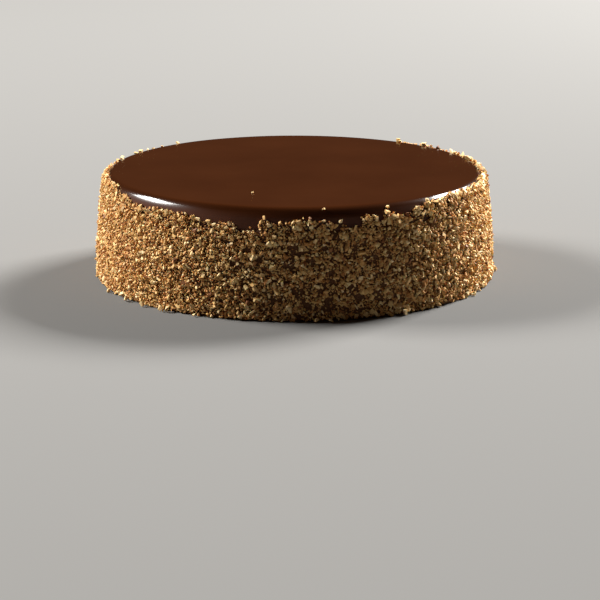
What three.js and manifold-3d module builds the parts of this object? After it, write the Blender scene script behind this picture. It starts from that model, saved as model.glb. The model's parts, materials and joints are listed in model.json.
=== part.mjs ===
// A whole round cake: chocolate glaze over the top and the shoulder, and finely chopped toasted nuts
// and biscuit crumbs pressed on all round the side, up to an uneven border on the shoulder.
// Millimetres, +Z up. The origin is the centre of the flat underside, and -Y is the front.
import * as THREE from "three";
import { mergeVertices } from "three/addons/utils/BufferGeometryUtils.js";
import Module from "manifold-3d";

const wasm = await Module();
wasm.setup();

// Driving dimensions. Heights are counted from the underside.
const CAKE_DIAMETER = 220; // over the crumbs, at the foot
const CAKE_HEIGHT = 57.5; // to the flat of the glaze
const CRUMB_COAT = 2.4; // how far the crumb coat stands out of the glaze
const COAT_LEAST = 0.3; // where glaze shows between the crumbs
const COAT_LEAST_ON_SKIRT = 0.9; // higher up, over the glaze's own skirt
const COAT_THINS = 0.4; // share of the coat that is missing where it runs out on the shoulder
const GLAZE_THICKNESS = 2.5;
const GLAZE_SKIRT = 11.5; // how far the glaze comes down below the flat, behind the crumbs
const SHOULDER_WIDTH = 5.6; // from the flat's edge out to the side
const SHOULDER_DROP = 7; // from the flat down to where the rounding would end upright
const SIDE_LEAN = 3.6; // how far the side leans in between the foot and the shoulder
const SIDE_BOW = 1.8; // power of that lean: 1 is a straight cone, more is fuller at the foot
const GAP = 0.3; // between the glaze and what touches it

// The crumbs. The border is where the coat ends on the shoulder.
const BORDER_HIGHEST = 55.3; // so that no crumb stands above the flat
const BORDER_WAVE_HEIGHT = 0.3;
const BORDER_WAVES = [
  { count: 29, phase: 5.2 },
  { count: 43, phase: 1.4 },
  { count: 67, phase: 2.9 },
];
// Border as read off the photo: degrees round from the front towards +X, and height. Behind the
// cake, from 145 round to -140 degrees, it is hidden and is carried on in the same way.
const BORDER = [
  [-180, 53.2], [-166, 52.2], [-150, 53.6], [-138, 52.6], [-120, 52.8], [-109, 53.8],
  [-103, 55.8], [-96, 56.6], [-80, 56.8], [-68, 56.6], [-62, 55.6], [-57, 54], [-52, 52.2],
  [-45, 52], [-41, 53.4], [-36, 53.2], [-33, 51.8], [-30, 52.6], [-27, 50.8], [-21, 50.8],
  [-18, 50.2], [-16, 47.8], [-12, 47.6], [-10, 49.6], [-8, 51.8], [-5, 50.8], [1, 52.9],
  [5, 52.8], [7, 51.8], [9, 53], [12, 52.7], [14, 49.4], [15.5, 47.6], [18, 47.6], [20, 53],
  [22.5, 54.2], [25, 52], [28, 54], [31, 51.8], [34, 52], [38, 54.4], [42, 54], [46, 55.6],
  [52, 55.4], [56, 56.4], [62, 55.4], [70, 55.4], [80, 56.4], [96, 56.8], [120, 56.8],
  [126, 56.2], [132, 56.6], [138, 56.8], [144, 56.2], [148, 54], [160, 52.8], [172, 54],
  [180, 53.2],
];
const SIDE_COLUMNS = 168;
const SIDE_ROWS = 13;
const BUMP_SWAY = [-0.28, 0.28]; // how far a bump strays along its row, in shares of a column
const BUMP_LIFT = [-0.3, 0.3]; // and up or down from it, in shares of a row
const BORDER_GRAINS = 68;
const BORDER_GRAIN_SWAY = [-0.3, 0.3]; // in shares of the space between two of them
const BORDER_GRAIN_DROP = [0.2, 1.8]; // how far their middles lie below the border
const SIDE_GRAINS = 60;
const SIDE_GRAIN_BAND = [0.03, 0.9]; // lowest and highest, in shares of the border's height
const GRAIN_WIDTH = [3.4, 5]; // least and most, of the largest crumbs
const GRAIN_STAND = 3.1; // how far they stand out of the glaze
const GRAIN_STRETCH = [0.7, 1.25]; // of each of its three sides
const SEED = 2207;

const LATHE_SEGMENTS = 96;
const SHOULDER_STEPS = 6; // in the outer rounding
const LINING_STEPS = 2; // in the rounding under the glaze
const SIDE_STEPS = 6;
const SLIVER = 0.02; // edges shorter than this are closed up after a cut
const SAME_PLACE = 1e-4; // points nearer to each other than this are one

// Outline of the glaze, from the dimensions above.
const FOOT_RADIUS = CAKE_DIAMETER / 2 - CRUMB_COAT;
const SHOULDER_HEIGHT = CAKE_HEIGHT - SHOULDER_DROP;
const leanSlope = (SIDE_LEAN * SIDE_BOW) / SHOULDER_HEIGHT;
const SHOULDER_END = Math.atan((leanSlope * SHOULDER_DROP) / SHOULDER_WIDTH);
const SIDE_TOP = SHOULDER_HEIGHT + SHOULDER_DROP * Math.sin(SHOULDER_END);
const SIDE_TOP_RADIUS = FOOT_RADIUS - SIDE_LEAN;
const FLAT_RADIUS = SIDE_TOP_RADIUS - SHOULDER_WIDTH * Math.cos(SHOULDER_END);
const SKIRT_HEIGHT = CAKE_HEIGHT - GLAZE_SKIRT;

// Seeded numbers from 0 up to 1, the same on every run.
function randomSource(seed) {
  let state = seed >>> 0;
  return () => {
    state = (state + 0x6d2b79f5) >>> 0;
    let mixed = Math.imul(state ^ (state >>> 15), state | 1);
    mixed ^= mixed + Math.imul(mixed ^ (mixed >>> 7), mixed | 61);
    return ((mixed ^ (mixed >>> 14)) >>> 0) / 2 ** 32;
  };
}

const random = randomSource(SEED);
const between = ([least, most]) => least + (most - least) * random();

// Radius of the glaze's outer surface at a height.
function glazeRadius(height) {
  if (height <= SIDE_TOP) return FOOT_RADIUS - SIDE_LEAN * (height / SIDE_TOP) ** SIDE_BOW;
  const up = Math.min(1, (height - SHOULDER_HEIGHT) / SHOULDER_DROP);
  return FLAT_RADIUS + SHOULDER_WIDTH * Math.sqrt(1 - up * up);
}

// Point at a radius, an angle round from the front towards +X, and a height.
function around(radius, angle, height) {
  return new THREE.Vector3(radius * Math.sin(angle), -radius * Math.cos(angle), height);
}

// Points of the shoulder's rounding from the flat down to the side, moved out of the glaze by `out`.
function shoulderPoints(out, steps) {
  const points = [];
  for (let i = 0; i <= steps; i++) {
    const angle = THREE.MathUtils.lerp(Math.PI / 2, SHOULDER_END, i / steps);
    points.push(
      new THREE.Vector2(
        FLAT_RADIUS + (SHOULDER_WIDTH + out) * Math.cos(angle),
        SHOULDER_HEIGHT + (SHOULDER_DROP + out) * Math.sin(angle),
      ),
    );
  }
  return points;
}

// Height of the crumbs' border at an angle.
function borderHeight(angle) {
  const turn = THREE.MathUtils.euclideanModulo(THREE.MathUtils.radToDeg(angle) + 180, 360) - 180;
  const next = Math.max(1, BORDER.findIndex(([end]) => turn <= end));
  const [[start, low], [end, high]] = [BORDER[next - 1], BORDER[next]];
  let height = THREE.MathUtils.mapLinear(turn, start, end, low, high);
  for (const { count, phase } of BORDER_WAVES) {
    height += BORDER_WAVE_HEIGHT * Math.sin(count * angle + phase);
  }
  return Math.min(height, BORDER_HIGHEST);
}

// How much of its thickness the crumb coat keeps at a height, less where it runs out on the shoulder.
function coatShare(height) {
  const above = THREE.MathUtils.smoothstep(height, SHOULDER_HEIGHT - SHOULDER_DROP, CAKE_HEIGHT);
  return 1 - COAT_THINS * above;
}

// A closed geometry with only merged positions, as a solid that can be joined and cut.
function solidOf(geometry) {
  const bare = geometry.clone();
  bare.deleteAttribute("normal");
  bare.deleteAttribute("uv");
  const merged = mergeVertices(bare, SAME_PLACE);
  const vertProperties = new Float32Array(merged.attributes.position.array);
  const triVerts = new Uint32Array(merged.index.array);
  return new wasm.Manifold(new wasm.Mesh({ numProp: 3, vertProperties, triVerts }));
}

function geometryOf(solid) {
  const mesh = solid.getMesh();
  const geometry = new THREE.BufferGeometry();
  geometry.setAttribute("position", new THREE.BufferAttribute(mesh.vertProperties, 3));
  geometry.setIndex(new THREE.BufferAttribute(mesh.triVerts, 1));
  return geometry;
}

// A closed outline, from the axis back to the axis, turned about +Z.
function turned(outline) {
  const geometry = new THREE.LatheGeometry(outline, LATHE_SEGMENTS);
  return geometry.rotateX(Math.PI / 2);
}

// Glaze: one even skin over the flat and the shoulder, with a skirt down the side.
function glazeOutline(grow, top) {
  const inner = GLAZE_THICKNESS + grow;
  const skirtRadius = glazeRadius(SKIRT_HEIGHT);
  const foot = SKIRT_HEIGHT - grow;
  return [
    new THREE.Vector2(0, CAKE_HEIGHT - inner),
    ...shoulderPoints(-inner, LINING_STEPS),
    new THREE.Vector2(skirtRadius - inner, foot),
    new THREE.Vector2(skirtRadius + grow, foot),
    ...shoulderPoints(grow, SHOULDER_STEPS).reverse(),
    new THREE.Vector2(FLAT_RADIUS, top),
    new THREE.Vector2(0, top),
  ].filter((point, i, all) => i === 0 || point.distanceTo(all[i - 1]) > SAME_PLACE);
}

// Cake under the glaze and behind the crumbs, up to the glaze's outer surface.
function coreOutline() {
  const outline = [new THREE.Vector2(0, 0)];
  for (let i = 0; i <= SIDE_STEPS; i++) {
    const height = (SIDE_TOP * i) / SIDE_STEPS;
    outline.push(new THREE.Vector2(glazeRadius(height), height));
  }
  outline.push(...shoulderPoints(0, SHOULDER_STEPS).reverse().slice(1));
  outline.push(new THREE.Vector2(0, CAKE_HEIGHT));
  return outline;
}

// Crumb coat: rows of crumb-sized bumps from the foot to the border, closed straight across.
function coatGeometry() {
  const positions = [];
  const step = (2 * Math.PI) / SIDE_COLUMNS;
  for (let row = 0; row <= SIDE_ROWS; row++) {
    const rim = row === 0 || row === SIDE_ROWS;
    for (let column = 0; column < SIDE_COLUMNS; column++) {
      const sway = rim ? 0 : between(BUMP_SWAY);
      const lift = rim ? 0 : between(BUMP_LIFT);
      const angle = (column + (row % 2) / 2 + sway) * step;
      const height = (borderHeight(angle) * (row + lift)) / SIDE_ROWS;
      const bare = row > 0 && height < SKIRT_HEIGHT - CRUMB_COAT;
      const least = bare ? COAT_LEAST : COAT_LEAST_ON_SKIRT;
      const thickness = between([least, CRUMB_COAT * coatShare(height)]);
      positions.push(...around(glazeRadius(height) + thickness, angle, height));
    }
  }
  const foot = positions.length / 3;
  positions.push(0, 0, 0);
  positions.push(0, 0, SHOULDER_HEIGHT);

  const index = [];
  for (let row = 0; row < SIDE_ROWS; row++) {
    for (let column = 0; column < SIDE_COLUMNS; column++) {
      const next = (column + 1) % SIDE_COLUMNS;
      const low = [row * SIDE_COLUMNS + column, row * SIDE_COLUMNS + next];
      const high = low.map((corner) => corner + SIDE_COLUMNS);
      // Odd rows stand half a column round, so the short diagonal changes side with each row.
      if (row % 2) index.push(low[0], low[1], high[1], low[0], high[1], high[0]);
      else index.push(low[0], low[1], high[0], low[1], high[1], high[0]);
    }
  }
  const lastRow = SIDE_ROWS * SIDE_COLUMNS;
  for (let column = 0; column < SIDE_COLUMNS; column++) {
    const next = (column + 1) % SIDE_COLUMNS;
    index.push(foot, next, column);
    index.push(foot + 1, lastRow + column, lastRow + next);
  }
  const geometry = new THREE.BufferGeometry();
  geometry.setAttribute("position", new THREE.Float32BufferAttribute(positions, 3));
  geometry.setIndex(index);
  return geometry;
}

// One of the largest crumbs: an uneven angular lump, half sunk in the coat.
function grainGeometry(angle, height) {
  const width = between(GRAIN_WIDTH);
  const grain = new THREE.IcosahedronGeometry(width / 2, 0);
  grain.rotateX(random() * Math.PI);
  grain.rotateY(random() * Math.PI);
  grain.scale(between(GRAIN_STRETCH), between(GRAIN_STRETCH), between(GRAIN_STRETCH));
  grain.rotateZ(random() * Math.PI);
  grain.computeBoundingSphere();
  const reach = grain.boundingSphere.radius;
  const out = GRAIN_STAND * coatShare(height) - reach;
  const place = around(glazeRadius(height) + out, angle, Math.max(height, reach));
  return grain.translate(place.x, place.y, place.z);
}

// The largest crumbs: along the border, and spread evenly over the side by golden steps.
function grainSolids() {
  const grains = [];
  for (let i = 0; i < BORDER_GRAINS; i++) {
    const angle = ((i + between(BORDER_GRAIN_SWAY)) * 2 * Math.PI) / BORDER_GRAINS;
    const height = borderHeight(angle) - between(BORDER_GRAIN_DROP);
    grains.push(solidOf(grainGeometry(angle, height)));
  }
  const goldenTurn = Math.PI * (3 - Math.sqrt(5));
  for (let i = 0; i < SIDE_GRAINS; i++) {
    const angle = i * goldenTurn;
    const share = THREE.MathUtils.lerp(...SIDE_GRAIN_BAND, (i + 0.5) / SIDE_GRAINS);
    grains.push(solidOf(grainGeometry(angle, borderHeight(angle) * share)));
  }
  return grains;
}

function largestBody(solid) {
  return solid.decompose().reduce((most, body) => (body.volume() > most.volume() ? body : most));
}

function cakeGeometry() {
  const whole = [solidOf(turned(coreOutline())), solidOf(coatGeometry()), ...grainSolids()]
    .reduce((joined, solid) => joined.add(solid));
  const clearance = solidOf(turned(glazeOutline(GAP, CAKE_HEIGHT + SHOULDER_DROP)));
  return geometryOf(largestBody(whole.subtract(clearance)).asOriginal().simplify(SLIVER));
}

function glazeGeometry() {
  return geometryOf(solidOf(turned(glazeOutline(0, CAKE_HEIGHT))));
}

// Toasted nuts and biscuit: golden tan, dry and dull.
function crumbMaterial() {
  return new THREE.MeshStandardMaterial({ color: 0xc79a5c, roughness: 0.85, metalness: 0 });
}

// Set chocolate glaze: deep brown with a soft gloss.
function glazeMaterial() {
  return new THREE.MeshStandardMaterial({ color: 0x48250f, roughness: 0.25, metalness: 0 });
}

function piece(name, geometry, material) {
  const mesh = new THREE.Mesh(geometry, material);
  mesh.name = name;
  return mesh;
}

const cake = new THREE.Group();
cake.add(piece("cake", cakeGeometry(), crumbMaterial()));
cake.add(piece("glaze", glazeGeometry(), glazeMaterial()));

export default cake;
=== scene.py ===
import json
import math
import random

import bpy
from mathutils import Euler, Matrix, Vector, noise

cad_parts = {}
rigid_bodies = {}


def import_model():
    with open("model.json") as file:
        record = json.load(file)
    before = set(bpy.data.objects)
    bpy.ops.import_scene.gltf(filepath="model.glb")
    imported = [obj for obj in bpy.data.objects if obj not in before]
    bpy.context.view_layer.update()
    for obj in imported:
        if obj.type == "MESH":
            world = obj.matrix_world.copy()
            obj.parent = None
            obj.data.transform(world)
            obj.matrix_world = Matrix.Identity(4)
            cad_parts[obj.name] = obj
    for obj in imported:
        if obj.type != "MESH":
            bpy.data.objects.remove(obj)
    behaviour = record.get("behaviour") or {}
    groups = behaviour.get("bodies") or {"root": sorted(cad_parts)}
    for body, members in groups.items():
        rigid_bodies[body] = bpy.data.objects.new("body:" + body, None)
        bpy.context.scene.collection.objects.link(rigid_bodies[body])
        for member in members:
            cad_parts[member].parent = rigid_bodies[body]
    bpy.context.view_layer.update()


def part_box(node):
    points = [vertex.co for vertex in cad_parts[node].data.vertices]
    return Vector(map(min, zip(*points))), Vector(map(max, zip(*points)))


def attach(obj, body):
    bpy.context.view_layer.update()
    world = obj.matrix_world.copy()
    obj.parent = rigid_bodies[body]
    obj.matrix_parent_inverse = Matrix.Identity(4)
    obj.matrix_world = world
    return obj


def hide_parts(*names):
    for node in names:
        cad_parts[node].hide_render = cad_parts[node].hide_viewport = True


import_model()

# --- Chocolate glaze ----------------------------------------------------------------------------
# One pour of dark chocolate glaze over the chilled cake. It levels on top, rounds off at the
# shoulder and runs on down behind the crumbs, and it has set to a smooth skin with a soft gloss.
FLAT_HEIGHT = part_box("glaze")[1].z
SKIRT_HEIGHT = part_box("glaze")[0].z
GLAZE_THICKNESS = 0.0025
FOOT_RADIUS = 0.1076  # of the glaze's outer surface, at the underside of the cake
SIDE_LEAN = 0.0036  # how much smaller the radius is at the top of the side
SIDE_BOW = 1.8  # the higher, the more of that comes near the top
SHOULDER_WIDTH = 0.0056
SHOULDER_DROP = 0.007
SHOULDER_STEPS = 14
LINING_STEPS = 5  # round the shoulder of an inner face, which doesn't show
FLAT_RINGS = 16
SKIRT_STEPS = 6
TURNS = 256
MERGE_WITHIN = 2e-6
SORT_FROM = (0.31, 0.73, 1.17)
POUR_WAVES = 0.05  # across one swelling of the glaze
POUR_WAVE_HEIGHT = 0.00022
GLAZE_DEEP = (0.0225, 0.0058, 0.0015, 1)
GLAZE_LIGHT = (0.028, 0.0075, 0.002, 1)
# Low on the shoulder the glaze is lighter: partly crumb dust, partly a painted reflection in place of
# the gloss it loses there.
GLAZE_DUST_AND_SHEEN = (0.06, 0.0145, 0.003, 1)
DUST_AND_SHEEN_BELOW = 0.0555  # crumb dust and painted reflection on the shoulder from here down
DUST_AND_SHEEN_FULL_BELOW = 0.0515

SHOULDER_HEIGHT = FLAT_HEIGHT - SHOULDER_DROP
SHOULDER_END = math.atan(SIDE_LEAN * SIDE_BOW / SHOULDER_HEIGHT * SHOULDER_DROP / SHOULDER_WIDTH)
SIDE_TOP = SHOULDER_HEIGHT + SHOULDER_DROP * math.sin(SHOULDER_END)
FLAT_RADIUS = FOOT_RADIUS - SIDE_LEAN - SHOULDER_WIDTH * math.cos(SHOULDER_END)


def glaze_radius(height):
    """Radius of the glaze's outer surface at a height."""
    if height <= SIDE_TOP:
        return FOOT_RADIUS - SIDE_LEAN * (max(height, 0) / SIDE_TOP) ** SIDE_BOW
    up = min(1, (height - SHOULDER_HEIGHT) / SHOULDER_DROP)
    return FLAT_RADIUS + SHOULDER_WIDTH * math.sqrt(1 - up * up)


def shoulder(out=0.0, steps=SHOULDER_STEPS):
    """(radius, height) points round the shoulder, from the flat down to the side."""
    points = []
    for i in range(steps + 1):
        angle = math.pi / 2 + (SHOULDER_END - math.pi / 2) * i / steps
        points.append((FLAT_RADIUS + (SHOULDER_WIDTH + out) * math.cos(angle),
                       SHOULDER_HEIGHT + (SHOULDER_DROP + out) * math.sin(angle)))
    return points


def side(low, high, steps, out=0.0):
    """(radius, height) points down the side, from high to low."""
    heights = [high + (low - high) * i / steps for i in range(steps + 1)]
    return [(glaze_radius(height) + out, height) for height in heights]


def turned(name, outline, closed=True):
    """Draws an outline of (radius, height) points one by one and spins it round the axis. A closed
    one then has its seam and poles merged and its faces turned outwards."""
    bpy.ops.object.select_all(action="DESELECT")
    bpy.ops.mesh.primitive_plane_add(size=FOOT_RADIUS)
    piece = bpy.context.object
    piece.name = piece.data.name = name
    bpy.ops.object.mode_set(mode="EDIT")
    bpy.ops.mesh.merge(type="CENTER")
    at = (0.0, 0.0)
    for i, (radius, height) in enumerate(outline):
        step = (radius - at[0], 0, height - at[1])
        if i == 0:
            bpy.ops.transform.translate(value=step)
        else:
            bpy.ops.mesh.extrude_region_move(TRANSFORM_OT_translate={"value": step})
        at = (radius, height)
    bpy.ops.mesh.select_all(action="SELECT")
    bpy.ops.mesh.spin(steps=TURNS, angle=2 * math.pi, center=(0, 0, 0), axis=(0, 0, 1))
    bpy.ops.mesh.select_all(action="SELECT")
    if closed:
        bpy.ops.mesh.remove_doubles(threshold=MERGE_WITHIN)
        bpy.ops.mesh.normals_make_consistent(inside=False)
    # Spin numbers its faces anew on every run, and the crumbs' places follow those numbers, so all
    # are put in the order of their distance from a point off to one side.
    bpy.context.scene.cursor.location = SORT_FROM
    bpy.ops.mesh.sort_elements(type="CURSOR_DISTANCE", elements={"VERT", "EDGE", "FACE"})
    bpy.context.scene.cursor.location = (0, 0, 0)
    bpy.ops.object.mode_set(mode="OBJECT")
    bpy.ops.object.shade_smooth()
    return piece


def new_material(name):
    """A material, and the nodes, links and shader to build it with."""
    material = bpy.data.materials.new(name)
    material.use_nodes = True
    tree = material.node_tree
    return material, tree.nodes, tree.links, tree.nodes["Principled BSDF"]


def add_bump(nodes, links, shader, height, strength, depth, invert=False):
    """Gives a shader a relief from a pattern."""
    bump = nodes.new("ShaderNodeBump")
    bump.invert = invert
    bump.inputs["Strength"].default_value = strength
    bump.inputs["Distance"].default_value = depth
    links.new(height, bump.inputs["Height"])
    links.new(bump.outputs["Normal"], shader.inputs["Normal"])


def add_ramp(nodes, links, pattern, low, low_colour, high, high_colour):
    """Turns a pattern into colours between two, from one level of it to another."""
    ramp = nodes.new("ShaderNodeValToRGB")
    first, last = ramp.color_ramp.elements
    first.position = low
    first.color = low_colour
    last.position = high
    last.color = high_colour
    links.new(pattern, ramp.inputs["Fac"])
    return ramp.outputs["Color"]


def own_place(nodes):
    """The object's own coordinates, from one node in each material."""
    place = nodes.get("Texture Coordinate") or nodes.new("ShaderNodeTexCoord")
    return place.outputs["Object"]


def add_texture(nodes, links, kind, scale, detail=None):
    """A texture on the object's own coordinates."""
    texture = nodes.new(kind)
    texture.inputs["Scale"].default_value = scale
    if detail is not None:
        texture.inputs["Detail"].default_value = detail
    links.new(own_place(nodes), texture.inputs["Vector"])
    return texture


def add_level(nodes, links, axis, low, high, to_low=0.0, to_high=1.0):
    """A mask that runs between two levels along an axis of the object."""
    parts = nodes.new("ShaderNodeSeparateXYZ")
    links.new(own_place(nodes), parts.inputs["Vector"])
    level = nodes.new("ShaderNodeMapRange")
    level.inputs["From Min"].default_value = low
    level.inputs["From Max"].default_value = high
    level.inputs["To Min"].default_value = to_low
    level.inputs["To Max"].default_value = to_high
    links.new(parts.outputs[axis], level.inputs["Value"])
    return level.outputs["Result"]


def glaze_material():
    """Set chocolate: an even deep brown with a soft gloss that varies a little over the pour."""
    material, nodes, links, shader = new_material("set chocolate glaze")
    cloud = add_texture(nodes, links, "ShaderNodeTexNoise", scale=22, detail=3)
    browns = add_ramp(nodes, links, cloud.outputs["Fac"], low=0.3, low_colour=GLAZE_DEEP,
                      high=0.75, high_colour=GLAZE_LIGHT)
    clean = nodes.new("ShaderNodeMapRange")
    clean.inputs["To Min"].default_value = 0.11
    clean.inputs["To Max"].default_value = 0.16
    links.new(cloud.outputs["Fac"], clean.inputs["Value"])
    # Low on the shoulder crumb dust clings to it, so it is duller there, and lighter: partly the
    # dust, partly a painted reflection in place of the gloss it loses.
    dust_and_sheen_mask = add_level(nodes, links, "Z", DUST_AND_SHEEN_BELOW, DUST_AND_SHEEN_FULL_BELOW)
    dust_and_painted_light = nodes.new("ShaderNodeMix")
    dust_and_painted_light.data_type = "RGBA"
    dust_and_painted_light.inputs["B"].default_value = GLAZE_DUST_AND_SHEEN
    dull = nodes.new("ShaderNodeMix")
    dull.inputs["B"].default_value = 0.5
    links.new(dust_and_sheen_mask, dust_and_painted_light.inputs["Factor"])
    links.new(browns, dust_and_painted_light.inputs["A"])
    links.new(dust_and_painted_light.outputs["Result"], shader.inputs["Base Color"])
    links.new(dust_and_sheen_mask, dull.inputs["Factor"])
    links.new(clean.outputs["Result"], dull.inputs["A"])
    links.new(dull.outputs["Result"], shader.inputs["Roughness"])
    grain = add_texture(nodes, links, "ShaderNodeTexNoise", scale=420, detail=2)
    add_bump(nodes, links, shader, grain.outputs["Fac"], strength=0.02, depth=0.0003)
    shader.inputs["IOR"].default_value = 1.45
    shader.inputs["Specular IOR Level"].default_value = 0.28
    return material


flat = [(FLAT_RADIUS * i / FLAT_RINGS, FLAT_HEIGHT) for i in range(FLAT_RINGS)]
skirt = side(SKIRT_HEIGHT, SIDE_TOP, SKIRT_STEPS)[1:]
lining = side(SKIRT_HEIGHT, SIDE_TOP, 1, -GLAZE_THICKNESS)[1:]
lining += shoulder(-GLAZE_THICKNESS, LINING_STEPS)[::-1]
chocolate_glaze = turned(
    "chocolate_glaze", flat + shoulder() + skirt + lining + [(0, FLAT_HEIGHT - GLAZE_THICKNESS)])
pour = bpy.data.textures.new("uneven pour", "CLOUDS")
pour.noise_scale = POUR_WAVES
pour.noise_depth = 1
swell = chocolate_glaze.modifiers.new("uneven pour", "DISPLACE")
swell.texture = pour
swell.texture_coords = "LOCAL"
swell.strength = POUR_WAVE_HEIGHT
swell.mid_level = 0.5
bpy.ops.object.modifier_apply(modifier=swell.name)
chocolate_glaze.data.materials.append(glaze_material())
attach(chocolate_glaze, "root")
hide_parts("glaze")

# --- Glazed side --------------------------------------------------------------------------------
# The same glaze further down, where it ran to the foot of the cake. It is what the crumbs stick
# to, and it shows dark between them.
SIDE_STEPS = 16
INNER_SIDE_STEPS = 4
SPECK = (0.22, 0.095, 0.028, 1)
BARE_GLAZE = (0.062, 0.0165, 0.0045, 1)
CRUMB_DUST = (0.4, 0.21, 0.07, 1)
# Along Y the glaze between the crumbs is left darker towards the front, the side in shade: painted
# shade.
PAINTED_SHADE_AT = -0.1  # along Y, at the front
PAINTED_SHADE_ENDS_AT = -0.05


def dust_and_shade_glaze_material():
    """The same glaze where crumbs were pressed in: matt, speckled with crumb dust, and darker towards
    the front as painted shade.
    """
    material, nodes, links, shader = new_material("crumb-dusted glaze")
    dust = add_texture(nodes, links, "ShaderNodeTexVoronoi", scale=1500)
    specks = add_ramp(nodes, links, dust.outputs["Distance"], low=0.16, low_colour=SPECK,
                      high=0.34, high_colour=BARE_GLAZE)
    # Towards the front, the side in shade, less of the dust colour is mixed in, so the glaze shows
    # darker there: painted shade. All round the rest crumb dust covers it well.
    dust_and_shade_mask = add_level(nodes, links, "Y", PAINTED_SHADE_AT, PAINTED_SHADE_ENDS_AT, to_low=0.1, to_high=0.85)
    dust_and_painted_light = nodes.new("ShaderNodeMix")
    dust_and_painted_light.data_type = "RGBA"
    dust_and_painted_light.inputs["B"].default_value = CRUMB_DUST
    links.new(dust_and_shade_mask, dust_and_painted_light.inputs["Factor"])
    links.new(specks, dust_and_painted_light.inputs["A"])
    links.new(dust_and_painted_light.outputs["Result"], shader.inputs["Base Color"])
    add_bump(nodes, links, shader, dust.outputs["Distance"], strength=0.8, depth=0.0004, invert=True)
    shader.inputs["Roughness"].default_value = 0.65
    shader.inputs["Specular IOR Level"].default_value = 0.25
    return material


run_down = side(0, SKIRT_HEIGHT, SIDE_STEPS)
run_down += side(0, SKIRT_HEIGHT, INNER_SIDE_STEPS, -GLAZE_THICKNESS)[::-1]
glazed_side = turned("glazed_side", run_down + run_down[:1])
glazed_side.data.materials.append(dust_and_shade_glaze_material())
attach(glazed_side, "root")
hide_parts("cake")

# --- Sponge -------------------------------------------------------------------------------------
# The uncut cake itself: soaked sponge in one solid round. Only its underside shows, pressed flat
# by its own weight and still a little porous.
SPONGE_CLEARANCE = 0.00005
UNDERSIDE_RINGS = 6
SPONGE_STEPS = 6
SPONGE_BROWN = (0.36, 0.17, 0.055, 1)
SPONGE_GOLD = (0.58, 0.34, 0.13, 1)


def sponge_material():
    """Damp baked sponge: yellow-brown, dull, with small open pores."""
    material, nodes, links, shader = new_material("soaked sponge")
    browning = add_texture(nodes, links, "ShaderNodeTexNoise", scale=40, detail=6)
    baked = add_ramp(nodes, links, browning.outputs["Fac"], low=0.35, low_colour=SPONGE_BROWN,
                     high=0.7, high_colour=SPONGE_GOLD)
    links.new(baked, shader.inputs["Base Color"])
    pores = add_texture(nodes, links, "ShaderNodeTexVoronoi", scale=520)
    add_bump(nodes, links, shader, pores.outputs["Distance"], strength=0.6, depth=0.0005)
    shader.inputs["Roughness"].default_value = 0.75
    return material


inside = GLAZE_THICKNESS + SPONGE_CLEARANCE
underside = [((FOOT_RADIUS - inside) * i / UNDERSIDE_RINGS, 0) for i in range(UNDERSIDE_RINGS)]
sponge_side = side(0, SIDE_TOP, SPONGE_STEPS, -inside)[::-1]
sponge_top = shoulder(-inside, LINING_STEPS)[::-1][1:] + [(0, FLAT_HEIGHT - inside)]
sponge = turned("sponge", underside + sponge_side + sponge_top)
sponge.data.materials.append(sponge_material())
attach(sponge, "root")
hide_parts("cake")

# --- Crumb coat ---------------------------------------------------------------------------------
# Chopped toasted nuts and broken biscuit, pressed by the handful into the soft glaze all round the
# side. The coat ends on the shoulder in an uneven border, bare in places and heaped in others.
BORDER_WAVE_HEIGHT = 0.0003
BORDER_WAVES = [(29, 5.2), (43, 1.4), (67, 2.9)]  # number round the cake, phase
# Where the coat ends: degrees round from the front towards +X, and millimetres above the underside.
BORDER = [
    (-180, 53.2), (-166, 52.2), (-150, 53.6), (-138, 52.6), (-120, 52.8), (-109, 53.8), (-103, 55.8),
    (-96, 56.6), (-80, 56.8), (-68, 56.6), (-62, 55.6), (-57, 54.0), (-52, 52.2), (-45, 52.0),
    (-41, 53.4), (-36, 53.2), (-33, 51.8), (-30, 52.6), (-27, 50.8), (-21, 50.8), (-18, 50.2),
    (-16, 47.8), (-12, 47.6), (-10, 49.6), (-8, 51.8), (-5, 50.8), (1, 52.9), (5, 52.8), (7, 51.8),
    (9, 53.0), (12, 52.7), (14, 49.4), (15.5, 47.6), (18, 47.6), (20, 53.0), (22.5, 54.2), (25, 52.0),
    (28, 54.0), (31, 51.8), (34, 52.2), (38, 54.8), (42, 55.2), (46, 56.5), (52, 56.7), (56, 57.2),
    (62, 56.6), (70, 56.5), (80, 56.8), (96, 57.1), (120, 57.1), (126, 56.6), (132, 57.0),
    (138, 57.1), (144, 56.6), (148, 54.0), (160, 52.8), (172, 54.0), (180, 53.2),
]
BORDER_FADE = 0.0008
CRUMB_REACH = 0.0009  # the border is where the crumbs end, this far past their middles
CRUMBS_HIGHEST = FLAT_HEIGHT + 0.0016
CRUMB_SEED = 41
FINE_SEED = 141
SEED_STEP = 7  # from one shape of a set to the next

# A crumb starts as a block about 1 across.
BLOCK_WIDTH = 0.8
BLOCK_KNOCK = 0.14
CUT_LEAN = (0.35, 1)
CUT_DEPTH = (0.3, 0.42)
SKIN_REACH = 0.45  # how far a face has to look outwards, from 0 to 1, to keep the skin
GRAIN_STRETCHES = [(1.2, 0.95, 0.8), (1.6, 0.8, 0.7), (1.05, 1.05, 0.9), (1.4, 1.0, 0.6)]
CHIP_STRETCHES = [(1.15, 0.95, 0.75), (1.75, 0.75, 0.65), (1.0, 1.0, 0.85), (1.45, 1.05, 0.5),
                  (1.3, 0.85, 0.8), (1.95, 0.65, 0.6)]
CHIP_CUTS = 2

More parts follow.
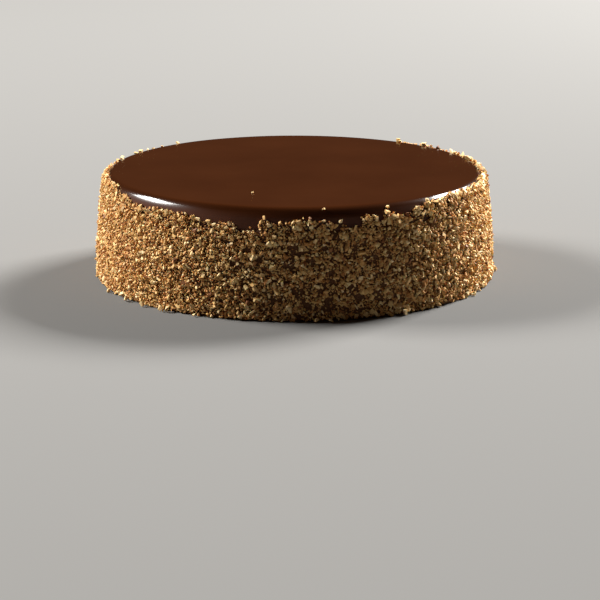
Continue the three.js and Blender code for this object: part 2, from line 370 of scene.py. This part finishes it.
# The crumbs are strewn over a bed, which is the glaze's outer surface.
BED_LOW = 0.0007
BED_HIGH = FLAT_HEIGHT - 0.0004
BED_STEPS = 40
DENSEST = 4e6  # places tried to a square metre, of which those too close together drop out
SMALL_ONES = 1.7  # the higher, the more of the crumbs are small
OUT_OF_SHAPE = (0.75, 1.2)  # the least and the most that a crumb is stretched along each axis
ANY_SHAPE = 1000  # far more than a set has: a number past its last shape starts again at the first

# How thickly they lie. The coat is thinnest a little to the right of the front, and patchy there.
THINNEST_AT = 0.3  # radians round from the front
THINNED = 0.36  # of a full coat, at the thinnest
PATCHES = 230  # to a metre
PATCHINESS = 0.3
MORE_PATCHINESS = 0.6  # at the thinnest
THINNEST_PATCH = 0.22
CHIPS_AMONG = 0.72  # of a full coat of chips
CHIPS_SWING = 0.28  # more than that on the right, and less on the left
CHIPS_TURN = 0.2  # radians round from the front, where it is neither

# Dark, middle and light of each kind.
BLANCHED_NUT = ((0.65, 0.425, 0.18), (0.76, 0.54, 0.255), (0.83, 0.645, 0.36))
GOLDEN_BISCUIT = ((0.53, 0.295, 0.10), (0.64, 0.395, 0.15), (0.73, 0.495, 0.21))
TOASTED_NUT = ((0.40, 0.178, 0.052), (0.51, 0.26, 0.087), (0.61, 0.355, 0.136))
NUT_SKIN = ((0.15, 0.055, 0.018), (0.25, 0.10, 0.034), (0.37, 0.175, 0.066))
MOTTLING = 0.7
SKIN_DARKENING = 0.4
TONES = (0.15, 0.8, 1.45)  # levels of the dark, the middle and the light


def border_height(angle):
    """Height at which the coat ends, at an angle round from the front towards +X."""
    turn = math.degrees(angle)
    for (start, low), (end, high) in zip(BORDER, BORDER[1:]):
        if turn <= end:
            break
    height = (low + (high - low) * (turn - start) / (end - start)) / 1000
    waves = sum(math.sin(count * angle + phase) for count, phase in BORDER_WAVES)
    return height + BORDER_WAVE_HEIGHT * waves


def crumb_shape(name, seed, stretch, cuts):
    """Models one crumb: a block knocked out of shape, with broken corners."""
    draw = random.Random(seed)
    bpy.ops.object.select_all(action="DESELECT")
    bpy.ops.mesh.primitive_cube_add(size=BLOCK_WIDTH)
    crumb = bpy.context.object
    crumb.name = crumb.data.name = name
    bpy.ops.object.mode_set(mode="EDIT")
    bpy.ops.mesh.select_all(action="SELECT")
    bpy.ops.transform.vertex_random(offset=BLOCK_KNOCK, uniform=0.5, seed=seed)
    for _ in range(cuts):
        way = Vector([draw.choice((-1, 1)) * draw.uniform(*CUT_LEAN) for _ in range(3)]).normalized()
        bpy.ops.mesh.select_all(action="SELECT")
        bpy.ops.mesh.bisect(
            plane_co=way * draw.uniform(*CUT_DEPTH), plane_no=way, use_fill=True, clear_outer=True)
    bpy.ops.mesh.select_all(action="SELECT")
    bpy.ops.transform.resize(value=stretch)
    bpy.ops.mesh.quads_convert_to_tris()
    bpy.ops.mesh.normals_make_consistent(inside=False)
    bpy.ops.object.mode_set(mode="OBJECT")
    # One side keeps its brown skin, and the others are fresh breaks.
    outside = Vector([draw.uniform(-1, 1) for _ in range(3)]).normalized()
    skin = [float(face.normal.dot(outside) > SKIN_REACH) for face in crumb.data.polygons]
    crumb.data.attributes.new("skin", "FLOAT", "FACE").data.foreach_set("value", skin)
    return crumb


def shape_set(name, stretches, cuts):
    """A collection of crumb shapes to draw from, one for each stretch."""
    shapes = bpy.data.collections.new(name)
    bpy.context.scene.collection.children.link(shapes)
    for i, stretch in enumerate(stretches):
        crumb = crumb_shape(f"{name} {i}", CRUMB_SEED + SEED_STEP * i, stretch, cuts)
        for holder in list(crumb.users_collection):
            holder.objects.unlink(crumb)
        shapes.objects.link(crumb)
    return shapes


def pressing_tree():
    """Geometry nodes that strew crumbs over a bed: evenly spaced, each turned and sized by chance."""
    tree = bpy.data.node_groups.new("press on crumbs", "GeometryNodeTree")
    tree.interface.new_socket("Bed", in_out="INPUT", socket_type="NodeSocketGeometry")
    tree.interface.new_socket("Shapes", in_out="INPUT", socket_type="NodeSocketCollection")
    for label in ("Spacing", "Smallest", "Largest", "Seat", "Lift", "Tilt", "Highest",
                  "Share from", "Share to"):
        tree.interface.new_socket(label, in_out="INPUT", socket_type="NodeSocketFloat")
    tree.interface.new_socket("Seed", in_out="INPUT", socket_type="NodeSocketInt")
    tree.interface.new_socket("Crumbs", in_out="OUTPUT", socket_type="NodeSocketGeometry")
    nodes, links = tree.nodes, tree.links
    given = nodes.new("NodeGroupInput").outputs

    def maths(operation, first, second):
        node = nodes.new("ShaderNodeMath")
        node.operation = operation
        for socket, value in zip(node.inputs, (first, second)):
            if isinstance(value, (int, float)):
                socket.default_value = value
            else:
                links.new(value, socket)
        return node.outputs[0]

    def chance(number, low=0.0, high=1.0, kind="FLOAT"):
        """A value drawn for each crumb. Every draw has a number of its own."""
        node = nodes.new("FunctionNodeRandomValue")
        node.data_type = kind
        first = {"FLOAT_VECTOR": 0, "FLOAT": 2, "INT": 4}[kind]  # where the sockets of a kind start
        node.inputs[first].default_value = low
        node.inputs[first + 1].default_value = high
        links.new(maths("ADD", given["Seed"], number), node.inputs["Seed"])
        return node.outputs[first // 2]

    def between(value, low, high):
        node = nodes.new("ShaderNodeMapRange")
        links.new(value, node.inputs["Value"])
        links.new(low, node.inputs["To Min"])
        links.new(high, node.inputs["To Max"])
        return node.outputs["Result"]

    def scaled(vector, factor):
        node = nodes.new("ShaderNodeVectorMath")
        node.operation = "SCALE"
        links.new(vector, node.inputs[0])
        links.new(factor, node.inputs["Scale"])
        return node.outputs["Vector"]

    spread = nodes.new("GeometryNodeDistributePointsOnFaces")
    spread.distribute_method = "POISSON"
    spread.inputs["Density Max"].default_value = DENSEST
    cover = nodes.new("GeometryNodeInputNamedAttribute")
    cover.data_type = "FLOAT"
    cover.inputs["Name"].default_value = "cover"
    links.new(given["Bed"], spread.inputs["Mesh"])
    links.new(given["Spacing"], spread.inputs["Distance Min"])
    links.new(cover.outputs["Attribute"], spread.inputs["Density Factor"])
    links.new(given["Seed"], spread.inputs["Seed"])

    # Each kind takes its share of the places, and leaves the others to the other kinds.
    lot = chance(1)
    not_its = nodes.new("FunctionNodeBooleanMath")
    not_its.operation = "OR"
    links.new(maths("LESS_THAN", lot, given["Share from"]), not_its.inputs[0])
    links.new(maths("GREATER_THAN", lot, given["Share to"]), not_its.inputs[1])
    share = nodes.new("GeometryNodeDeleteGeometry")
    share.domain = "POINT"
    links.new(spread.outputs["Points"], share.inputs["Geometry"])
    links.new(not_its.outputs[0], share.inputs["Selection"])

    out = maths("ADD", given["Seat"], maths("MULTIPLY", chance(3), given["Lift"]))
    seated = nodes.new("GeometryNodeSetPosition")
    links.new(share.outputs["Geometry"], seated.inputs["Geometry"])
    links.new(scaled(spread.outputs["Normal"], out), seated.inputs["Offset"])

    pick = nodes.new("GeometryNodeCollectionInfo")
    pick.inputs["Separate Children"].default_value = True
    pick.inputs["Reset Children"].default_value = True
    links.new(given["Shapes"], pick.inputs["Collection"])
    turn = nodes.new("ShaderNodeCombineXYZ")
    back = maths("MULTIPLY", given["Tilt"], -1)
    links.new(between(chance(5), back, given["Tilt"]), turn.inputs["X"])
    links.new(between(chance(8), back, given["Tilt"]), turn.inputs["Y"])
    links.new(chance(9, 0, 2 * math.pi), turn.inputs["Z"])
    laid = nodes.new("FunctionNodeRotateRotation")
    laid.rotation_space = "LOCAL"
    links.new(spread.outputs["Rotation"], laid.inputs["Rotation"])
    links.new(turn.outputs["Vector"], laid.inputs["Rotate By"])
    size = between(maths("POWER", chance(2), SMALL_ONES), given["Smallest"], given["Largest"])
    least, most = [(stretch,) * 3 for stretch in OUT_OF_SHAPE]
    place = nodes.new("GeometryNodeInstanceOnPoints")
    place.inputs["Pick Instance"].default_value = True
    links.new(seated.outputs["Geometry"], place.inputs["Points"])
    links.new(pick.outputs["Instances"], place.inputs["Instance"])
    links.new(chance(4, 0, ANY_SHAPE, "INT"), place.inputs["Instance Index"])
    links.new(laid.outputs["Rotation"], place.inputs["Rotation"])
    links.new(scaled(chance(6, least, most, "FLOAT_VECTOR"), size), place.inputs["Scale"])

    tone = nodes.new("GeometryNodeStoreNamedAttribute")
    tone.data_type = "FLOAT"
    tone.domain = "INSTANCE"
    tone.inputs["Name"].default_value = "tone"
    links.new(place.outputs["Instances"], tone.inputs["Geometry"])
    links.new(chance(7), tone.inputs["Value"])
    real = nodes.new("GeometryNodeRealizeInstances")
    links.new(tone.outputs["Geometry"], real.inputs["Geometry"])

    # Crumbs at the foot are squashed level with the underside, and those on the shoulder were
    # patted down.
    where = nodes.new("GeometryNodeInputPosition")
    parts = nodes.new("ShaderNodeSeparateXYZ")
    links.new(where.outputs["Position"], parts.inputs["Vector"])
    pressed = nodes.new("ShaderNodeCombineXYZ")
    links.new(parts.outputs["X"], pressed.inputs["X"])
    links.new(parts.outputs["Y"], pressed.inputs["Y"])
    above = maths("MAXIMUM", parts.outputs["Z"], 0)
    links.new(maths("MINIMUM", above, given["Highest"]), pressed.inputs["Z"])
    footed = nodes.new("GeometryNodeSetPosition")
    links.new(real.outputs["Geometry"], footed.inputs["Geometry"])
    links.new(pressed.outputs["Vector"], footed.inputs["Position"])
    done = nodes.new("NodeGroupOutput")
    links.new(footed.outputs["Geometry"], done.inputs["Crumbs"])
    return tree


def crumb_colour_group():
    """Colour and grain of one crumb, from its own tone and a fine mottling inside it."""
    group = bpy.data.node_groups.new("crumb colour", "ShaderNodeTree")
    group.interface.new_socket("Tone", in_out="INPUT", socket_type="NodeSocketFloat")
    group.interface.new_socket("Skin", in_out="INPUT", socket_type="NodeSocketFloat")
    for label in ("Dark", "Middle", "Light"):
        group.interface.new_socket(label, in_out="INPUT", socket_type="NodeSocketColor")
    group.interface.new_socket("Colour", in_out="OUTPUT", socket_type="NodeSocketColor")
    group.interface.new_socket("Grain", in_out="OUTPUT", socket_type="NodeSocketFloat")
    nodes, links = group.nodes, group.links
    given = nodes.new("NodeGroupInput").outputs

    def multiply_add(value, factor, addend):
        node = nodes.new("ShaderNodeMath")
        node.operation = "MULTIPLY_ADD"
        links.new(value, node.inputs[0])
        node.inputs[1].default_value = factor
        links.new(addend, node.inputs[2])
        return node.outputs[0]

    def mixed(value, low, high, first, second):
        reach = nodes.new("ShaderNodeMapRange")
        reach.inputs["From Min"].default_value = low
        reach.inputs["From Max"].default_value = high
        links.new(value, reach.inputs["Value"])
        mix = nodes.new("ShaderNodeMix")
        mix.data_type = "RGBA"
        links.new(reach.outputs["Result"], mix.inputs["Factor"])
        links.new(first, mix.inputs["A"])
        links.new(second, mix.inputs["B"])
        return mix.outputs["Result"]

    mottle = add_texture(nodes, links, "ShaderNodeTexNoise", scale=700, detail=3)
    skinned = multiply_add(given["Skin"], -SKIN_DARKENING, given["Tone"])
    tone = multiply_add(mottle.outputs["Fac"], MOTTLING, skinned)
    darker = mixed(tone, TONES[0], TONES[1], given["Dark"], given["Middle"])
    colour = mixed(tone, TONES[1], TONES[2], darker, given["Light"])
    done = nodes.new("NodeGroupOutput")
    links.new(colour, done.inputs["Colour"])
    links.new(mottle.outputs["Fac"], done.inputs["Grain"])
    return group


def crumb_material(name, colours, roughness):
    """Dry toasted crumb, dull to slightly oily."""
    material, nodes, links, shader = new_material(name)
    colour = nodes.new("ShaderNodeGroup")
    colour.node_tree = CRUMB_COLOUR
    for label, attribute in (("Tone", "tone"), ("Skin", "skin")):
        own = nodes.new("ShaderNodeAttribute")
        own.attribute_name = attribute
        links.new(own.outputs["Fac"], colour.inputs[label])
    for label, value in zip(("Dark", "Middle", "Light"), colours):
        colour.inputs[label].default_value = (*value, 1)
    links.new(colour.outputs["Colour"], shader.inputs["Base Color"])
    add_bump(nodes, links, shader, colour.outputs["Grain"], strength=0.3, depth=0.0003)
    shader.inputs["Roughness"].default_value = roughness
    shader.inputs["Specular IOR Level"].default_value = 0.2
    shader.inputs["Subsurface Weight"].default_value = 0.15
    shader.inputs["Subsurface Radius"].default_value = (1, 0.45, 0.2)
    shader.inputs["Subsurface Scale"].default_value = 0.0008
    return material


def coat_cover(angle, height, spot):
    """Full over the side, running out at the border, with a few thin patches."""
    below = (border_height(angle) - CRUMB_REACH - height) / BORDER_FADE + 0.5
    thin = max(math.cos(angle - THINNEST_AT), 0) ** 2
    patches = (PATCHINESS + MORE_PATCHINESS * thin) * noise.noise(spot * PATCHES)
    patchy = 1.0 - THINNED * thin + patches
    return min(max(below, 0), 1) * min(max(patchy, THINNEST_PATCH), 1)


def chip_cover(angle, height, spot):
    """As the coat, but with more of the larger chips towards the right."""
    among = CHIPS_AMONG + CHIPS_SWING * math.sin(angle - CHIPS_TURN)
    return coat_cover(angle, height, spot) * among


def strewn(name, material, share, cover, layer):
    """Strews one kind of crumb over its own copy of the bed, as thickly as cover says. The kinds of
    a layer divide its places between them, each by its share from 0 to 1."""
    bpy.ops.object.select_all(action="DESELECT")
    bed.select_set(True)
    bpy.context.view_layer.objects.active = bed
    bpy.ops.object.duplicate()
    crumbs = bpy.context.object
    crumbs.name = crumbs.data.name = name
    values = []
    for vertex in crumbs.data.vertices:
        x, y, height = vertex.co
        values.append(cover(math.atan2(x, -y), height, vertex.co))
    crumbs.data.attributes.new("cover", "FLOAT", "POINT").data.foreach_set("value", values)
    press = crumbs.modifiers.new("press on crumbs", "NODES")
    press.node_group = PRESSING
    settings = {"Share from": share[0], "Share to": share[1], "Highest": CRUMBS_HIGHEST, **layer}
    for item in PRESSING.interface.items_tree:
        if item.name in settings:
            press[item.identifier] = settings[item.name]
    bpy.ops.object.modifier_apply(modifier=press.name)
    crumbs.data.materials.clear()
    crumbs.data.materials.append(material)
    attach(crumbs, "root")
    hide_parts("cake")


CRUMB_COLOUR = crumb_colour_group()
PRESSING = pressing_tree()
GRAINS = shape_set("grain", GRAIN_STRETCHES, cuts=0)
CHIPS = shape_set("chip", CHIP_STRETCHES, CHIP_CUTS)
on_shoulder = [point for point in shoulder()[::-1][1:] if point[1] < BED_HIGH]
bed = turned("crumb_bed", side(BED_LOW, SIDE_TOP, BED_STEPS)[::-1] + on_shoulder, closed=False)

PALE = crumb_material("blanched nut", BLANCHED_NUT, roughness=0.6)
GOLDEN = crumb_material("golden biscuit", GOLDEN_BISCUIT, roughness=0.75)
TOASTED = crumb_material("toasted nut", TOASTED_NUT, roughness=0.7)
SKINS = crumb_material("nut skin", NUT_SKIN, roughness=0.65)

# Fine crumbs fill the coat.
FINE = {"Shapes": GRAINS, "Spacing": 0.00084, "Smallest": 0.0007, "Largest": 0.0014,
        "Seat": 0.0002, "Lift": 0.0009, "Tilt": 1.2, "Seed": FINE_SEED}
strewn("fine_pale", PALE, (0.0, 0.12), coat_cover, FINE)
strewn("fine_golden", GOLDEN, (0.12, 0.56), coat_cover, FINE)
strewn("fine_toasted", TOASTED, (0.56, 1.0), coat_cover, FINE)

# The chips sit in and on them.
COAT = {"Shapes": CHIPS, "Spacing": 0.00148, "Smallest": 0.0011, "Largest": 0.0024,
        "Seat": 0.0007, "Lift": 0.0008, "Tilt": 0.8, "Seed": CRUMB_SEED}
strewn("crumbs_pale", PALE, (0.0, 0.27), chip_cover, COAT)
strewn("crumbs_golden", GOLDEN, (0.27, 0.66), chip_cover, COAT)
strewn("crumbs_toasted", TOASTED, (0.66, 0.95), chip_cover, COAT)
strewn("crumbs_skin", SKINS, (0.95, 1.0), chip_cover, COAT)

# --- Heaped crumbs ------------------------------------------------------------------------------
# The largest pieces of nut, thickest along the border and on the right, where a handful was
# pressed on last. Some stick up on the shoulder, past the coat.
LUMP_STRETCHES = [(1.2, 0.95, 0.8), (1.5, 0.8, 0.7), (1.0, 1.05, 0.8), (1.3, 1.1, 0.6)]
LUMP_CUTS = 4
HEAP_BELOW = 0.0022  # from the border down to the middle of the heaped band
HEAP_BAND = 0.0014
HEAPS_FROM = 0.051  # height of the border from which they grow, to be full a rise above it
HEAPS_RISE = 0.002
LEAST_HEAPED = 0.15
LEFT_HEAPED = 0.3  # of how thickly they lie on the right
SCATTERED = 0.02  # of a full coat, over the rest of the side
SCATTERED_RIGHT = 0.1  # more than that on the right
HEAP_SEED = 241


def heap_cover(angle, height, spot):
    """Thick in a band along the border, thin over the rest of the side."""
    border = border_height(angle)
    band = math.exp(-((height - border + HEAP_BELOW) / HEAP_BAND) ** 2)
    right = 0.5 + 0.5 * math.sin(angle)
    heaped = min(max((border - HEAPS_FROM) / HEAPS_RISE, LEAST_HEAPED), 1)
    heaped *= LEFT_HEAPED + (1 - LEFT_HEAPED) * right
    scattered = SCATTERED + SCATTERED_RIGHT * right if height < border else 0
    return min(band * heaped + scattered, 1)


LUMPS = shape_set("lump", LUMP_STRETCHES, LUMP_CUTS)
HEAPS = {"Shapes": LUMPS, "Spacing": 0.0022, "Smallest": 0.0018, "Largest": 0.0032,
         "Seat": 0.0009, "Lift": 0.0005, "Tilt": 0.7, "Seed": HEAP_SEED}
strewn("heaped_pale", PALE, (0.0, 0.6), heap_cover, HEAPS)
strewn("heaped_golden", GOLDEN, (0.6, 1.0), heap_cover, HEAPS)

# --- Loose crumbs -------------------------------------------------------------------------------
# Single crumbs stuck on the shoulder above the coat, crumbs that dropped off the side and lie
# against its foot, and one that strayed onto the glaze.
FALLEN = 22
FALLEN_RADIUS = (0.1102, 0.1118)
FALLEN_WIDTH = (0.0012, 0.0026)
ON_TOP_SHAPE = 3  # of the chips
ON_TOP_PLACE = (-0.0215, -0.0655)
ON_TOP_WIDTH = 0.0011
STUCK_TUMBLE = 0.5
STUCK_DEPTH = 0.0002
# Those stuck on the shoulder: degrees round from the front, height and width in millimetres.
STUCK = [(-137.5, 56.9, 1.9), (-130.5, 56.9, 1.2), (-126, 57.0, 1.1), (-123.5, 56.8, 1.3),
         (-119.5, 56.8, 1.9), (-117, 56.6, 1.6), (-107, 56.6, 2.0), (-105, 56.4, 1.5),
         (-100, 56.9, 1.4), (142.5, 57.0, 1.7), (8.4, 56.2, 1.2), (27.5, 55.2, 1.3)]


def loose_crumb(shape, x, y, ground, width, draw, tumbled=math.pi):
    """A copy of a crumb shape, turned by chance and laid down on the ground at a place."""
    crumb = shape.copy()
    crumb.data = shape.data.copy()
    bpy.context.scene.collection.objects.link(crumb)
    tumble = [draw.uniform(-tumbled, tumbled) for _ in range(2)]
    turn = Euler((*tumble, draw.uniform(0, 2 * math.pi))).to_matrix().to_4x4()
    crumb.data.transform(turn @ Matrix.Scale(width, 4))
    lowest = min(vertex.co.z for vertex in crumb.data.vertices)
    crumb.data.transform(Matrix.Translation((x, y, ground - lowest)))
    tone = crumb.data.attributes.new("tone", "FLOAT", "POINT")
    tone.data.foreach_set("value", [draw.random()] * len(crumb.data.vertices))
    return crumb


draw = random.Random(CRUMB_SEED)
singles = []
for turn, height, width in STUCK:
    angle = math.radians(turn)
    radius = glaze_radius(height / 1000)
    singles.append(loose_crumb(
        draw.choice(GRAINS.objects), radius * math.sin(angle), -radius * math.cos(angle),
        height / 1000 - STUCK_DEPTH, width / 1000, draw, STUCK_TUMBLE))
loose_crumbs = loose_crumb(
    CHIPS.objects[ON_TOP_SHAPE], *ON_TOP_PLACE, FLAT_HEIGHT, ON_TOP_WIDTH, draw, tumbled=0)
for _ in range(FALLEN):
    angle = draw.uniform(0, 2 * math.pi)
    radius = draw.uniform(*FALLEN_RADIUS)
    singles.append(loose_crumb(
        draw.choice(CHIPS.objects), radius * math.sin(angle), -radius * math.cos(angle), 0,
        draw.uniform(*FALLEN_WIDTH), draw))
bpy.ops.object.select_all(action="DESELECT")
for crumb in [loose_crumbs, *singles]:
    crumb.select_set(True)
bpy.context.view_layer.objects.active = loose_crumbs
bpy.ops.object.join()
loose_crumbs.name = loose_crumbs.data.name = "loose_crumbs"
loose_crumbs.data.materials.clear()
loose_crumbs.data.materials.append(PALE)
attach(loose_crumbs, "root")
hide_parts("cake")

for shapes in (GRAINS, CHIPS, LUMPS):
    for crumb in list(shapes.objects):
        bpy.data.objects.remove(crumb)
    bpy.data.collections.remove(shapes)
bpy.data.objects.remove(bed)

# --- Floor, light and camera --------------------------------------------------------------------
# A plain pale floor, a faint warm glow all round, and two large soft lights to either side of the
# cake and a little behind it. The camera looks down on the cake from the front, which is in shade.
FLOOR_SIZE = 12
FLOOR_DROP = 0.0002
FLOOR_COLOUR = (0.138, 0.1355, 0.1322, 1)
AIR_COLOUR = (1.0, 0.62, 0.42, 1)
AIR_GLOW = 0.03
LIGHT_RISE = 33  # degrees above the floor, seen from the cake
LIGHT_DISTANCE = 3.2
LIGHT_HEIGHT = 0.9  # of the lit face
VIEW_DISTANCE = 1.155  # level distance from the camera to the cake's axis
VIEW_HEIGHT = 0.2873
VIEW_PITCH = 14.77  # degrees down
VIEW_ASIDE = 0.003
VIEW_LENS = 128.7
VIEW_SENSOR = 36
VIEW_NEAREST = 0.01

bpy.ops.object.select_all(action="DESELECT")
bpy.ops.mesh.primitive_plane_add(size=FLOOR_SIZE, location=(0, 0, -FLOOR_DROP))
floor = bpy.context.object
floor.name = "floor"
paint, nodes, links, shader = new_material("pale floor")
shader.inputs["Base Color"].default_value = FLOOR_COLOUR
shader.inputs["Specular IOR Level"].default_value = 0
shader.inputs["Roughness"].default_value = 0.9
floor.data.materials.append(paint)

world = bpy.data.worlds.new("dim studio")
world.use_nodes = True
air = world.node_tree.nodes["Background"]
air.inputs["Color"].default_value = AIR_COLOUR
air.inputs["Strength"].default_value = AIR_GLOW
bpy.context.scene.world = world


def softbox(name, azimuth, width, power, colour):
    """An area light aimed at the cake. Azimuth is counted from the camera's side towards +X."""
    turn = math.radians(azimuth)
    rise = math.radians(LIGHT_RISE)
    way = Vector((math.sin(turn) * math.cos(rise), -math.cos(turn) * math.cos(rise), math.sin(rise)))
    place = way * LIGHT_DISTANCE + Vector((0, 0, SHOULDER_HEIGHT))
    bpy.ops.object.light_add(type="AREA", location=place)
    lamp = bpy.context.object
    lamp.name = name
    lamp.rotation_euler = way.to_track_quat("Z", "Y").to_euler()
    lamp.data.shape = "RECTANGLE"
    lamp.data.size = width
    lamp.data.size_y = LIGHT_HEIGHT
    lamp.data.energy = power
    lamp.data.color = colour


softbox("left softbox", azimuth=-105, width=1.4, power=300, colour=(1.0, 0.985, 0.95))
softbox("right softbox", azimuth=132, width=1.2, power=455, colour=(1.0, 0.99, 0.96))

bpy.ops.object.camera_add(
    location=(VIEW_ASIDE, -VIEW_DISTANCE, VIEW_HEIGHT),
    rotation=(math.radians(90 - VIEW_PITCH), 0, 0))
camera = bpy.context.object
camera.data.lens = VIEW_LENS
camera.data.sensor_width = VIEW_SENSOR
camera.data.clip_start = VIEW_NEAREST
bpy.context.scene.camera = camera
bpy.context.scene.view_settings.view_transform = "Standard"
